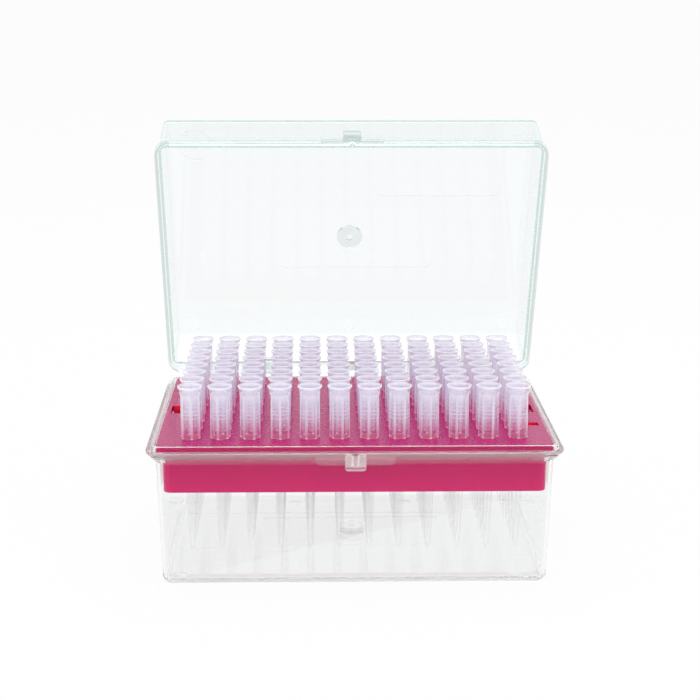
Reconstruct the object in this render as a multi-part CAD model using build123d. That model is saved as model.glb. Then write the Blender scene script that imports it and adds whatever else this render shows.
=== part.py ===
from build123d import *

import math
import os

# A hinged-lid box of 96 pipette tips: a clear tub, a tray that drops into it, a clear lid on two
# snap hinges, and the tips standing in the tray.
# Millimetres. Origin: centre of the tub's underside. +Z up, +X along the length, -Y the latch side.

# --- tip rack -------------------------------------------------------------------------------
PITCH = 9.0
COLUMNS = 12
ROWS = 8
ROWS_PER_NODE = 4
ROW_LETTERS = "abcdefgh"
END_MARGIN = 10.35  # centre of the outermost tips to the tub's outside, just under the flange
SIDE_MARGIN = 9.75

# --- tip: depths are measured down from its rim ---------------------------------------------------
TIP_LENGTH = 51.5
TIP_BODY_RADIUS = 2.75
TIP_RIM_FLARE = 0.95  # rim radius over body radius
TIP_COLLAR_STEP = 0.39
TIP_FUNNEL = 1.2
TIP_COLLAR_END = 2.6
TIP_BODY_TAPER = 0.07  # lost from the radius between collar and seat
TIP_SEAT_DEPTH = 16.1  # where the ribs end, on the tray
TIP_MIDDLE_DROP = 14.9  # from the seat to the slimmer middle
TIP_MIDDLE_RADIUS = 1.65
TIP_NOSE_LENGTH = 3.0
TIP_NOSE_RADIUS = 0.95
TIP_END_RADIUS = 0.42
TIP_RIM_WALL = 0.35
TIP_BODY_WALL = 0.5
TIP_NOSE_WALL = 0.35
TIP_END_WALL = 0.17
TIP_RIBS = 6
TIP_RIB_WIDTH = 0.7
TIP_RIB_SETBACK = 0.12  # rib top in from the collar
TIP_RIB_HOLD = 0.28  # rib foot out past the tray's hole
TIP_HOLE_CLEARANCE = 0.1
TIP_FLOOR_GAP = 7.6
TIP_LID_GAP = 1.0  # rims to the closed lid's panel
TIP_TURN_STEPS = (37.0, 23.0)  # degrees, so that neighbouring tips don't line up

# --- tub ------------------------------------------------------------------------------------
WALL = 1.0
FLOOR = 1.2
WALL_DRAFT = 1.8  # degrees
TUB_CORNER = 4.6
FOOT_ROUND = 2.4  # outside round between wall and floor
FLOOR_ROUND = 1.4
FLANGE_OVERHANG = 2.65  # front and sides
BACK_OVERHANG = 6.05  # the hinge side's wider shelf
FLANGE_EDGE = 0.6
FLANGE_SLOPE = 45.0  # degrees, underside of the flange
BACK_SHELF_THICK = 1.6
FLANGE_CORNER = 5.6
SEAT_LEDGE = 0.95  # inside ledge that the tray rests on
UPSTAND_THICK = 1.2
UPSTAND_CORNER = 1.9  # inside
UPSTAND_ROUND = 0.4

# --- catch on the tub's front, peg on the lid's -----------------------------------------------
CATCH_WIDTH = 6.2
CATCH_REACH = 2.7  # past the flange's edge
CATCH_ROUND = 0.9
CATCH_TAB_WIDTH = 23.8  # the thicker lip behind the catch
CATCH_TAB_DROP = 3.4
CATCH_TAB_THICK = 1.4
CATCH_TAB_ROUND = 1.5
PEG_RADIUS = 1.0
PEG_DROP = 2.6
PEG_CHAMFER = 0.25
SOCKET_CLEARANCE = 0.3
SOCKET_SPARE = 0.8  # depth left under the peg
SOCKET_FLOOR = 1.0
SOCKET_WALL = 0.7
LID_PAD_WIDTH = 19.8
LID_PAD_REACH = 0.6
LID_PAD_RISE = 3.4
LID_PAD_ROUND = 0.5
LID_BLOCK_WIDTH = 5.9
LID_BLOCK_RISE = 2.9
LID_BLOCK_ROUND = 0.7

# --- lid, named as it lies when closed ----------------------------------------------------------
LID_GAP = 0.1  # closed lid to flange, above it and in from its edge
LID_SKIRT = 0.95
LID_STEP = 1.9  # the wall stands in from the skirt by this much, front and back
LID_SIDE_STEP = 1.1
LID_STEP_THICK = 1.0
LID_WALL = 1.0
LID_PANEL = 1.0
LID_DRAFT = 1.4  # degrees
LID_RECESS_GAP = 0.3  # over the upstand
LID_RIM_CORNER = 5.0
LID_WALL_CORNER = 2.4
LID_PANEL_ROUND = 1.5
LID_INSIDE_ROUND = 0.8
LUG_WIDTH = 6.0
LUG_REACH = 0.8

# --- hinges -------------------------------------------------------------------------------------
HINGE_SPACING = 58.0
HINGE_GAP = 0.4  # barrels and ears to the lid's wall and skirt
PIN_RADIUS = 1.2
PIN_CLEARANCE = 0.06
BARREL_WALL = 0.84
BARREL_LENGTH = 6.0
BARREL_LIFT = 1.3  # barrel over the shelf
SNAP_GRIP = 0.4  # the barrel's mouth is this much narrower than the pin
EAR_THICK = 1.6
EAR_GAP = 0.3
OPEN_LIMIT = 115.0  # degrees from closed, where the ears' stop noses meet the lid's wall
STOP_MARGIN = 1.5  # degrees kept between the limit and touching
STOP_REACH = 1.1  # stop nose out past the barrel
REST_ANGLE = 66.5  # degrees from closed, as the lid stands here

# --- moulded marks: insets are from the lid's or the tub's outside --------------------------------
MARK_DEPTH = 0.15
MARK_LINE = 0.35
INSERT_CORNER = 3.0
EJECTOR_RADIUS = 2.2
GATE_RADIUS = 1.1
GATE_DEPTH = 0.5
LID_MARKS_SHIFT = 1.7  # the lid's gate, behind the panel's middle
LID_INSERT_SIZE = (53.3, 25.2)
LID_INSERT_SHIFT = 1.75
LID_BOSS_RADIUS = 4.35
LID_BOSS_RISE = 0.7
LID_EJECTOR_INSET = (7.8, 6.5)
LABEL_SIZE = (42.0, 16.8)
LABEL_INSET = (12.1, 14.6)
LABEL_CORNER = 3.0
DATE_RING_INSET = (11.5, 11.9)
DATE_RING_RADIUS = 5.3
FLOOR_INSERT_SIZE = (59.0, 27.0)
FLOOR_MARKS_Y = 5.4
FLOOR_BOSS_RADIUS = 4.0
FLOOR_BOSS_RISE = 2.0
FLOOR_EJECTOR_INSET = (6.45, 7.65)
FLOOR_EJECTOR_X = 19.1  # the inner pairs
FLOOR_LINE_Y = 22.9

# --- tray -----------------------------------------------------------------------------------------
TRAY_GAP = 0.4  # plate edge to upstand
TRAY_PLATE = 1.8
TRAY_HEIGHT = 15.1
TRAY_SKIRT = 1.5
TRAY_SKIRT_INSET = 1.8
TRAY_SKIRT_CORNER = 2.5
TRAY_EDGE_ROUND = 0.4
TRAY_RIB = 1.2
TRAY_RIB_DROP = 8.0
TRAY_RIB_COLUMNS = (-4, 0, 4)  # counted in pitches from the middle
TRAY_RIB_ROWS = (-2, 0, 2)
WINDOW_SIZE = (3.5, 9.0)  # snap window at each end of the plate
WINDOW_INSET = 1.5  # plate edge to window
WINDOW_Y = -0.3
WINDOW_DEPTH = 4.0
SLOT_SIZE = (4.0, 3.3)
SLOT_INSET = 1.9
SLOT_Y = -18.5

# --- sizes worked out from those above ------------------------------------------------------------
TUB_LENGTH = (COLUMNS - 1) * PITCH + 2 * END_MARGIN  # outside, just under the flange
TUB_DEPTH = (ROWS - 1) * PITCH + 2 * SIDE_MARGIN

TIP_RIM_RADIUS = TIP_BODY_RADIUS + TIP_RIM_FLARE
TIP_COLLAR_RADIUS = TIP_BODY_RADIUS + TIP_COLLAR_STEP
TIP_SEAT_RADIUS = TIP_BODY_RADIUS - TIP_BODY_TAPER
TIP_MIDDLE_DEPTH = TIP_SEAT_DEPTH + TIP_MIDDLE_DROP
TIP_NOSE_DEPTH = TIP_LENGTH - TIP_NOSE_LENGTH
HOLE_RADIUS = TIP_SEAT_RADIUS + TIP_HOLE_CLEARANCE
TIP_RIB_TOP_RADIUS = TIP_COLLAR_RADIUS - TIP_RIB_SETBACK
TIP_RIB_FOOT_RADIUS = HOLE_RADIUS + TIP_RIB_HOLD

TIP_RIM = FLOOR + TIP_FLOOR_GAP + TIP_LENGTH
TRAY_TOP = TIP_RIM - TIP_SEAT_DEPTH
SHELF_TOP = TRAY_TOP - TRAY_PLATE  # the flange that the lid closes on
UPSTAND_RISE = TRAY_PLATE
UPSTAND_LENGTH = TUB_LENGTH - 2 * (WALL - SEAT_LEDGE)  # inside
UPSTAND_DEPTH = TUB_DEPTH - 2 * (WALL - SEAT_LEDGE)
TRAY_LENGTH = UPSTAND_LENGTH - 2 * TRAY_GAP
TRAY_DEPTH = UPSTAND_DEPTH - 2 * TRAY_GAP
TRAY_CORNER = UPSTAND_CORNER - TRAY_GAP

FLANGE_FRONT = -(TUB_DEPTH / 2 + FLANGE_OVERHANG)
FLANGE_BACK = TUB_DEPTH / 2 + BACK_OVERHANG
CATCH_FRONT = FLANGE_FRONT - CATCH_REACH
LIP_BACK = FLANGE_FRONT + CATCH_TAB_THICK
SOCKET_RADIUS = PEG_RADIUS + SOCKET_CLEARANCE
SOCKET_DEPTH = PEG_DROP + SOCKET_SPARE
SOCKET_Y = CATCH_FRONT + SOCKET_WALL + SOCKET_RADIUS

LID_LENGTH = TUB_LENGTH + 2 * (FLANGE_OVERHANG - LID_GAP)
LID_DEPTH = FLANGE_BACK - FLANGE_FRONT - 2 * LID_GAP
LID_CENTRE_Y = (FLANGE_BACK + FLANGE_FRONT) / 2
LID_FRONT = LID_CENTRE_Y - LID_DEPTH / 2
LID_BACK = LID_CENTRE_Y + LID_DEPTH / 2
LID_WALL_BACK = LID_BACK - LID_STEP
LID_RIM = SHELF_TOP + LID_GAP
LID_WALL_FOOT = SHELF_TOP + UPSTAND_RISE + LID_RECESS_GAP
LID_STEP_TOP = LID_WALL_FOOT + LID_STEP_THICK
LID_INSIDE_TOP = TIP_RIM + TIP_LID_GAP
LID_TOP = LID_INSIDE_TOP + LID_PANEL
LID_MARKS_Y = LID_CENTRE_Y + LID_MARKS_SHIFT

BARREL_RADIUS = PIN_RADIUS + PIN_CLEARANCE + BARREL_WALL
AXIS_Y = LID_WALL_BACK + HINGE_GAP + BARREL_RADIUS
AXIS_Z = SHELF_TOP + BARREL_LIFT + BARREL_RADIUS
STOP_RADIUS = BARREL_RADIUS + STOP_REACH


def down(z):
    """A plane at height z whose extrusions go down."""
    return Plane(origin=(0, 0, z), z_dir=(0, 0, -1))


def slab(length, depth, corner, z, height, y=0.0, taper=0.0):
    """A block with rounded vertical corners, rising from z."""
    return extrude(Pos(0, y, z) * RectangleRounded(length, depth, corner), height, taper=taper)


def box(x, y, z):
    """A box from its three (low, high) pairs."""
    size = (x[1] - x[0], y[1] - y[0], z[1] - z[0])
    middle = (sum(x) / 2, sum(y) / 2, sum(z) / 2)
    return Pos(*middle) * Box(*size)


def post(x, y, z, radius, height):
    """An upright cylinder standing on z."""
    return Pos(x, y, z + height / 2) * Cylinder(radius, height)


def flat_mark(size, corner, x, y, z):
    """A shallow rounded rectangle, to be sunk into the face at height z."""
    return Pos(x, y, z - MARK_DEPTH) * extrude(RectangleRounded(*size, corner), 2 * MARK_DEPTH)


def front_corners(part):
    """A block's upright edges on its front."""
    return part.edges().filter_by(Axis.Z).group_by(Axis.Y)[0]


def hinge_places():
    return (-HINGE_SPACING / 2, HINGE_SPACING / 2)


# --- tub --------------------------------------------------------------------------------------
def tapered_down(length, depth, corner, top, height):
    """The drafted tub form: full size at the top, narrowing downwards."""
    outline = down(top) * RectangleRounded(length, depth, corner)
    return extrude(outline, height, taper=WALL_DRAFT)


def tub_cavity():
    inside = (TUB_LENGTH - 2 * WALL, TUB_DEPTH - 2 * WALL, TUB_CORNER - WALL)
    cavity = tapered_down(*inside, SHELF_TOP, SHELF_TOP - FLOOR)
    cavity = fillet(cavity.edges().group_by(Axis.Z)[0], FLOOR_ROUND)
    return cavity + slab(*inside, SHELF_TOP, UPSTAND_RISE)


def tub_flange():
    """The shelf round the top: a solid wedge on the wall, and a thinner, wider shelf at the back."""
    length = TUB_LENGTH + 2 * FLANGE_OVERHANG
    depth = TUB_DEPTH + 2 * FLANGE_OVERHANG
    edge_foot = SHELF_TOP - FLANGE_EDGE
    rim = slab(length, FLANGE_BACK - FLANGE_FRONT, FLANGE_CORNER, edge_foot, FLANGE_EDGE, LID_CENTRE_Y)
    outline = down(edge_foot) * RectangleRounded(length, depth, FLANGE_CORNER)
    wedge_height = FLANGE_OVERHANG / math.tan(math.radians(FLANGE_SLOPE))
    wedge = extrude(outline, wedge_height, taper=FLANGE_SLOPE)
    shelf_foot = SHELF_TOP - BACK_SHELF_THICK
    bevel = BACK_SHELF_THICK - FLANGE_EDGE
    shelf_y = FLANGE_BACK - BACK_OVERHANG / 2 - bevel
    shelf = slab(length - 2 * bevel, BACK_OVERHANG, bevel, shelf_foot, bevel, shelf_y)
    return rim + wedge + shelf


def upstand():
    """The low rim round the tray's plate: its outer form, and the space inside it."""
    length = UPSTAND_LENGTH + 2 * UPSTAND_THICK
    depth = UPSTAND_DEPTH + 2 * UPSTAND_THICK
    ring = slab(length, depth, UPSTAND_CORNER + UPSTAND_THICK, SHELF_TOP, UPSTAND_RISE)
    ring = fillet(ring.edges().group_by(Axis.Z)[-1], UPSTAND_ROUND)
    return ring, slab(UPSTAND_LENGTH, UPSTAND_DEPTH, UPSTAND_CORNER, SHELF_TOP, UPSTAND_RISE)


def front_block(width, y, z, rounding):
    """A block on the front whose lower corners are rounded."""
    block = box((-width / 2, width / 2), y, z)
    lower = block.edges().filter_by(Axis.Y).group_by(Axis.Z)[0]
    return fillet(lower, rounding)


def catch():
    """The lip and the socketed block that the lid's peg snaps into."""
    lip_height = (SHELF_TOP - CATCH_TAB_DROP, SHELF_TOP - FLANGE_EDGE)
    lip = front_block(CATCH_TAB_WIDTH, (FLANGE_FRONT, LIP_BACK), lip_height, CATCH_TAB_ROUND)
    socket_foot = SHELF_TOP - SOCKET_DEPTH
    block_height = (socket_foot - SOCKET_FLOOR, SHELF_TOP)
    block = front_block(CATCH_WIDTH, (CATCH_FRONT, LIP_BACK), block_height, CATCH_ROUND)
    return lip + block, post(0, SOCKET_Y, socket_foot, SOCKET_RADIUS, SOCKET_DEPTH)


def stop_nose():
    """The ear's corner that the lid's back wall would meet just past its opening limit, in (y, z)."""
    lean = math.radians(LID_DRAFT)
    level_distance = AXIS_Y - LID_WALL_BACK + (AXIS_Z - LID_WALL_FOOT) * math.tan(lean)
    wall_angle = math.acos(level_distance * math.cos(lean) / STOP_RADIUS)
    angle = math.pi + lean - wall_angle - math.radians(OPEN_LIMIT + STOP_MARGIN)
    return AXIS_Y + STOP_RADIUS * math.cos(angle), AXIS_Z + STOP_RADIUS * math.sin(angle)


def ear_outline():
    """One hinge ear, seen from the side: a round head, a stop nose behind it, a root on the shelf."""
    nose_y, nose_z = stop_nose()
    head = Pos(AXIS_Y, AXIS_Z) * Circle(BARREL_RADIUS)
    root_front = AXIS_Y - BARREL_RADIUS
    root_foot = SHELF_TOP - BACK_SHELF_THICK
    root = Polyline(
        (root_front, AXIS_Z),
        (root_front, root_foot),
        (FLANGE_BACK, root_foot),
        (nose_y, AXIS_Z - BARREL_RADIUS),
        (nose_y, nose_z),
        (AXIS_Y, nose_z),
        close=True,
    )
    return head + make_face(root)


def ear(x):
    outline = Plane.YZ.offset(x - EAR_THICK / 2) * ear_outline()
    return extrude(outline, EAR_THICK)


def hinge_seat(x):
    """Two ears with the pin between them."""
    reach = BARREL_LENGTH / 2 + EAR_GAP + EAR_THICK / 2
    pin = Pos(x, AXIS_Y, AXIS_Z) * Rot(0, 90, 0) * Cylinder(PIN_RADIUS, 2 * reach)
    return ear(x - reach) + ear(x + reach) + pin


def floor_marks():
    """What the mould left on the floor's inside: an insert outline, ejector discs and a fine line."""
    sunk = flat_mark(FLOOR_INSERT_SIZE, INSERT_CORNER, 0, FLOOR_MARKS_Y, FLOOR)
    end_x = TUB_LENGTH / 2 - FLOOR_EJECTOR_INSET[0]
    side_y = TUB_DEPTH / 2 - FLOOR_EJECTOR_INSET[1]
    for x in (-end_x, -FLOOR_EJECTOR_X, FLOOR_EJECTOR_X, end_x):
        for y in (-side_y, side_y):
            sunk += post(x, y, FLOOR - MARK_DEPTH, EJECTOR_RADIUS, 2 * MARK_DEPTH)
    line_half = TUB_LENGTH / 2 - TUB_CORNER
    line_y = (FLOOR_LINE_Y, FLOOR_LINE_Y + MARK_LINE)
    sunk += box((-line_half, line_half), line_y, (FLOOR - MARK_DEPTH, FLOOR + MARK_DEPTH))
    return sunk


def floor_boss():
    boss = post(0, FLOOR_MARKS_Y, FLOOR - MARK_DEPTH, FLOOR_BOSS_RADIUS, FLOOR_BOSS_RISE + MARK_DEPTH)
    gate_foot = FLOOR + FLOOR_BOSS_RISE - GATE_DEPTH
    return boss - post(0, FLOOR_MARKS_Y, gate_foot, GATE_RADIUS, 2 * GATE_DEPTH)


def make_base():
    body = tapered_down(TUB_LENGTH, TUB_DEPTH, TUB_CORNER, SHELF_TOP, SHELF_TOP)
    body = fillet(body.edges().group_by(Axis.Z)[0], FOOT_ROUND)
    ring, ring_inside = upstand()
    lip, socket = catch()
    tub = body + tub_flange() + ring + lip
    for x in hinge_places():
        tub += hinge_seat(x)
    tub = tub - ring_inside - tub_cavity() - socket - floor_marks()
    return tub + floor_boss()


# --- lid --------------------------------------------------------------------------------------
def lid_skirt():
    """The rim that stands on the flange, and the recess in it that clears the upstand."""
    height = LID_STEP_TOP - LID_RIM
    skirt = slab(LID_LENGTH, LID_DEPTH, LID_RIM_CORNER, LID_RIM, height, LID_CENTRE_Y)
    length = LID_LENGTH - 2 * LID_SKIRT
    depth = LID_DEPTH - 2 * LID_SKIRT
    corner = LID_RIM_CORNER - LID_SKIRT
    return skirt, slab(length, depth, corner, LID_RIM, LID_WALL_FOOT - LID_RIM, LID_CENTRE_Y)


def lid_form(inward, top, rounding):
    """The drafted box of the lid's wall, this far in from its outside, with its top edges rounded."""
    length = LID_LENGTH - 2 * (LID_SIDE_STEP + inward)
    depth = LID_DEPTH - 2 * (LID_STEP + inward)
    corner = LID_WALL_CORNER - inward
    form = slab(length, depth, corner, LID_WALL_FOOT, top - LID_WALL_FOOT, LID_CENTRE_Y, LID_DRAFT)
    return fillet(form.edges().group_by(Axis.Z)[-1], rounding)


def lid_shell():
    """Skirt, step, wall and panel, closed on the tub."""
    skirt, recess = lid_skirt()
    outside = lid_form(0, LID_TOP, LID_PANEL_ROUND)
    inside = lid_form(LID_WALL, LID_INSIDE_TOP, LID_INSIDE_ROUND)
    return skirt + outside - inside - recess


def lid_pad():
    """The thumb pad on the front of the skirt."""
    half = LID_PAD_WIDTH / 2
    pad_y = (LID_FRONT - LID_PAD_REACH, LID_FRONT + LID_SKIRT)
    pad = box((-half, half), pad_y, (LID_RIM, LID_RIM + LID_PAD_RISE))
    return fillet(front_corners(pad), LID_PAD_ROUND)


def lid_latch():
    """The block over the catch, and the peg that snaps into its socket."""
    half = LID_BLOCK_WIDTH / 2
    block_y = (CATCH_FRONT, LID_FRONT + LID_SKIRT)
    block = box((-half, half), block_y, (LID_RIM, LID_RIM + LID_BLOCK_RISE))
    block = fillet(front_corners(block), LID_BLOCK_ROUND)
    peg = post(0, SOCKET_Y, LID_RIM - PEG_DROP, PEG_RADIUS, PEG_DROP)
    peg = chamfer(peg.edges().group_by(Axis.Z)[0], PEG_CHAMFER)
    return block + peg


def hinge_window(x):
    """The gap in the lid's skirt that clears the tub's ears."""
    half = BARREL_LENGTH / 2 + EAR_GAP + EAR_THICK + HINGE_GAP
    return box((x - half, x + half), (LID_WALL_BACK, LID_BACK + LID_GAP), (LID_RIM, LID_STEP_TOP))


def hinge_barrel(x):
    """The snap-on barrel, its web to the lid's wall, and the mouth that passes the pin."""
    across = Pos(x, AXIS_Y, AXIS_Z) * Rot(0, 90, 0)
    half = BARREL_LENGTH / 2
    web_y = (LID_WALL_BACK - LID_WALL / 2, AXIS_Y)
    web = box((x - half, x + half), web_y, (LID_WALL_FOOT, AXIS_Z + BARREL_RADIUS))
    barrel = across * Cylinder(BARREL_RADIUS, BARREL_LENGTH) + web
    bore = across * Cylinder(PIN_RADIUS + PIN_CLEARANCE, BARREL_LENGTH)
    mouth_half = PIN_RADIUS - SNAP_GRIP / 2
    mouth_y = (AXIS_Y - mouth_half, AXIS_Y + mouth_half)
    mouth = box((x - half, x + half), mouth_y, (AXIS_Z - 2 * BARREL_RADIUS, AXIS_Z))
    return barrel - bore - mouth


def back_lug():
    """The solid block at the middle of the lid's back rim."""
    half = LUG_WIDTH / 2
    lug_y = (LID_WALL_BACK - LID_WALL, LID_BACK + LUG_REACH)
    return box((-half, half), lug_y, (LID_RIM, LID_STEP_TOP))


def lid_marks():
    """Sunk marks: the label field outside; insert outline and ejector discs inside."""
    label_x = LID_LENGTH / 2 - LABEL_INSET[0] - LABEL_SIZE[0] / 2
    label_y = LID_FRONT + LABEL_INSET[1] + LABEL_SIZE[1] / 2
    sunk = flat_mark(LABEL_SIZE, LABEL_CORNER, label_x, label_y, LID_TOP)
    sunk += flat_mark(LID_INSERT_SIZE, INSERT_CORNER, LID_INSERT_SHIFT, LID_MARKS_Y, LID_INSIDE_TOP)
    end_x = LID_LENGTH / 2 - LID_EJECTOR_INSET[0]
    for x in (-end_x, 0, end_x):
        for y in (LID_FRONT + LID_EJECTOR_INSET[1], LID_BACK - LID_EJECTOR_INSET[1]):
            sunk += post(x, y, LID_INSIDE_TOP - MARK_DEPTH, EJECTOR_RADIUS, 2 * MARK_DEPTH)
    return sunk


def date_ring():
    """A raised ring on the panel's inside, where a mould insert sits."""
    x = -LID_LENGTH / 2 + DATE_RING_INSET[0]
    y = LID_FRONT + DATE_RING_INSET[1]
    foot = LID_INSIDE_TOP - MARK_DEPTH
    ring = post(x, y, foot, DATE_RING_RADIUS, 2 * MARK_DEPTH)
    return ring - post(x, y, foot, DATE_RING_RADIUS - MARK_LINE, 2 * MARK_DEPTH)


def lid_boss():
    """The round gate boss on the panel's inside."""
    foot = LID_INSIDE_TOP - LID_BOSS_RISE
    boss = post(0, LID_MARKS_Y, foot, LID_BOSS_RADIUS, LID_BOSS_RISE + MARK_DEPTH)
    return boss - post(0, LID_MARKS_Y, foot, GATE_RADIUS, GATE_DEPTH)


def make_lid():
    lid = lid_shell() - lid_marks() + date_ring() + lid_boss()
    lid = lid + lid_pad() + lid_latch() + back_lug()
    for x in hinge_places():
        lid = lid - hinge_window(x) + hinge_barrel(x)
    hinge_axis = Axis((0, AXIS_Y, AXIS_Z), (-1, 0, 0))
    return lid.rotate(hinge_axis, REST_ANGLE)


# --- tray -------------------------------------------------------------------------------------
def tip_places():
    """(column, row, x, y), with column 1 at the left and row a at the back."""
    for column in range(COLUMNS):
        for row in range(ROWS):
            x = (column - (COLUMNS - 1) / 2) * PITCH
            y = ((ROWS - 1) / 2 - row) * PITCH
            yield column, row, x, y


def tray_ribs(length, depth):
    """Stiffening ribs under the plate, run between the tip holes."""
    height = (SHELF_TOP - TRAY_RIB_DROP, SHELF_TOP)
    half = TRAY_RIB / 2
    along = [step * PITCH for step in TRAY_RIB_ROWS]
    across = [step * PITCH for step in TRAY_RIB_COLUMNS]
    ribs = [box((-length / 2, length / 2), (y - half, y + half), height) for y in along]
    ribs += [box((x - half, x + half), (-depth / 2, depth / 2), height) for x in across]
    return ribs


def tray_windows():
    """A snap window at each end of the plate, and the slot in front of the right one."""
    top = (TRAY_TOP - WINDOW_DEPTH, TRAY_TOP)
    width, run = WINDOW_SIZE
    outer = TRAY_LENGTH / 2 - WINDOW_INSET
    span = (WINDOW_Y - run / 2, WINDOW_Y + run / 2)
    cuts = box((-outer, -outer + width), span, top) + box((outer - width, outer), span, top)
    width, run = SLOT_SIZE
    outer = TRAY_LENGTH / 2 - SLOT_INSET
    return cuts + box((outer - width, outer), (SLOT_Y - run / 2, SLOT_Y + run / 2), top)


def make_tray():
    plate = slab(TRAY_LENGTH, TRAY_DEPTH, TRAY_CORNER, SHELF_TOP, TRAY_PLATE)
    plate = fillet(plate.edges().group_by(Axis.Z)[-1], TRAY_EDGE_ROUND)
    length = TRAY_LENGTH - 2 * TRAY_SKIRT_INSET
    depth = TRAY_DEPTH - 2 * TRAY_SKIRT_INSET
    foot = TRAY_TOP - TRAY_HEIGHT
    drop = SHELF_TOP - foot
    skirt = slab(length, depth, TRAY_SKIRT_CORNER, foot, drop)
    skirt = fillet(skirt.edges().group_by(Axis.Z)[0], TRAY_EDGE_ROUND)
    skirt_inside = (length - 2 * TRAY_SKIRT, depth - 2 * TRAY_SKIRT)
    skirt -= slab(*skirt_inside, TRAY_SKIRT_CORNER - TRAY_SKIRT, foot, drop)
    holes = [post(x, y, SHELF_TOP, HOLE_RADIUS, TRAY_PLATE) for _, _, x, y in tip_places()]
    tray = plate + skirt + tray_ribs(*skirt_inside) - tray_windows()
    return tray - holes


# --- tips ---------------------------------------------------------------------------------------
def tip_outside():
    """(radius, depth below the rim) down the outside."""
    return [
        (TIP_RIM_RADIUS, 0),
        (TIP_COLLAR_RADIUS, TIP_FUNNEL),
        (TIP_COLLAR_RADIUS, TIP_COLLAR_END),
        (TIP_BODY_RADIUS, TIP_COLLAR_END),
        (TIP_SEAT_RADIUS, TIP_SEAT_DEPTH),
        (TIP_MIDDLE_RADIUS, TIP_MIDDLE_DEPTH),
        (TIP_NOSE_RADIUS, TIP_NOSE_DEPTH),
        (TIP_END_RADIUS, TIP_LENGTH),
    ]


def tip_inside():
    """(radius, depth) back up the bore."""
    return [
        (TIP_END_RADIUS - TIP_END_WALL, TIP_LENGTH),
        (TIP_NOSE_RADIUS - TIP_NOSE_WALL, TIP_NOSE_DEPTH),
        (TIP_MIDDLE_RADIUS - TIP_BODY_WALL, TIP_MIDDLE_DEPTH),
        (TIP_SEAT_RADIUS - TIP_BODY_WALL, TIP_SEAT_DEPTH),
        (TIP_BODY_RADIUS - TIP_RIM_WALL, TIP_FUNNEL),
        (TIP_RIM_RADIUS - TIP_RIM_WALL, 0),
    ]


def make_tip():
    """One tip with its rim at z = 0."""
    section = Polyline([(r, -depth) for r, depth in tip_outside() + tip_inside()], close=True)
    body = revolve(Plane.XZ * make_face(section), Axis.Z)
    root = TIP_SEAT_RADIUS - TIP_BODY_WALL / 2
    rib = Polyline(
        (root, -TIP_COLLAR_END),
        (TIP_RIB_TOP_RADIUS, -TIP_COLLAR_END),
        (TIP_RIB_FOOT_RADIUS, -TIP_SEAT_DEPTH),
        (root, -TIP_SEAT_DEPTH),
        close=True,
    )
    blade = extrude(Plane.XZ.offset(-TIP_RIB_WIDTH / 2) * make_face(rib), TIP_RIB_WIDTH)
    for step in range(TIP_RIBS):
        body += Rot(0, 0, step * 360 / TIP_RIBS) * blade
    return body


def tip_nodes():
    """Tips by node: four rows of one column each, every tip turned a little differently."""
    tip = make_tip().solid()
    nodes = {}
    for column, row, x, y in tip_places():
        first = row - row % ROWS_PER_NODE
        last = first + ROWS_PER_NODE - 1
        name = f"tips_{column + 1:02d}_{ROW_LETTERS[first]}_to_{ROW_LETTERS[last]}"
        turn = column * TIP_TURN_STEPS[0] + row * TIP_TURN_STEPS[1]
        nodes.setdefault(name, []).append(Pos(x, y, TIP_RIM) * Rot(0, 0, turn) * tip)
    return {name: Compound(children=tips) for name, tips in nodes.items()}


def report(name, shape):
    size = shape.bounding_box().size
    print(f"{name}: {len(shape.solids())} solid(s), {size.X:.1f} x {size.Y:.1f} x {size.Z:.1f} mm")


def main():
    os.makedirs("parts", exist_ok=True)
    nodes = {"base": make_base(), "lid": make_lid(), "tray": make_tray(), **tip_nodes()}
    for name, shape in nodes.items():
        report(name, shape)
        export_step(shape, f"parts/{name}.step")
    print("hinge axis y, z:", round(AXIS_Y, 3), round(AXIS_Z, 3), "tip rims at", round(TIP_RIM, 2))


main()
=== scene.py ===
# %% [markdown]
# # A box of pipette tips
#
# The real object is four kinds of moulded polypropylene: a clear tub, a clear lid on two snap hinges,
# a magenta tray that drops into the tub, and 96 natural, slightly milky tips that stand in the tray.
#
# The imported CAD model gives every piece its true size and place. This lesson adds what CAD leaves out: tips
# with rounded lips and graduation rings, and the finish of each plastic.
# Everything is in metres and in the CAD frame, so nothing has to be fitted.

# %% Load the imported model
import math

import bmesh
import bpy
from mathutils import Euler, Matrix, Vector


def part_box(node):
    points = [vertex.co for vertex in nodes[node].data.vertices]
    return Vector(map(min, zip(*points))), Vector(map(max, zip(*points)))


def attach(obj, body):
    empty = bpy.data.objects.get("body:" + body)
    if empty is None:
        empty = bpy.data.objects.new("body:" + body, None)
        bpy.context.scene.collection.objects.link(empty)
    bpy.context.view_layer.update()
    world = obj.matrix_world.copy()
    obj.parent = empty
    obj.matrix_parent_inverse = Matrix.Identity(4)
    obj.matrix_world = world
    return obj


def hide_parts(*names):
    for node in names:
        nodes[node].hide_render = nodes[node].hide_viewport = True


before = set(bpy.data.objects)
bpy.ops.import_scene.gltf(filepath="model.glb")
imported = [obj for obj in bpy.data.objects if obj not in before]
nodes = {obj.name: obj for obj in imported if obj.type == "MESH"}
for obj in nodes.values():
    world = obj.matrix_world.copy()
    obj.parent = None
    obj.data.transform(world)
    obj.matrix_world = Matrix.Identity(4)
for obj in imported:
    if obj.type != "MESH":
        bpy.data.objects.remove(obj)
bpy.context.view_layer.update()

# %% [markdown]
# ## Where things are
#
# The places that the looks depend on are read from the frame, so a change to the CAD model carries over.
# A millimetre is a handy unit for plastic mouldings, so sizes are written as numbers times MM.

# %% Sizes and places
MM = 0.001
TUB_LOW, TUB_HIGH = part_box("base")
TRAY_LOW, TRAY_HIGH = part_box("tray")
TIP_NODES = sorted(name for name in nodes if name.startswith("tips_"))
print("tray top", round(TRAY_HIGH.z / MM, 2), "mm;", len(TIP_NODES), "nodes of tips")

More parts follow.
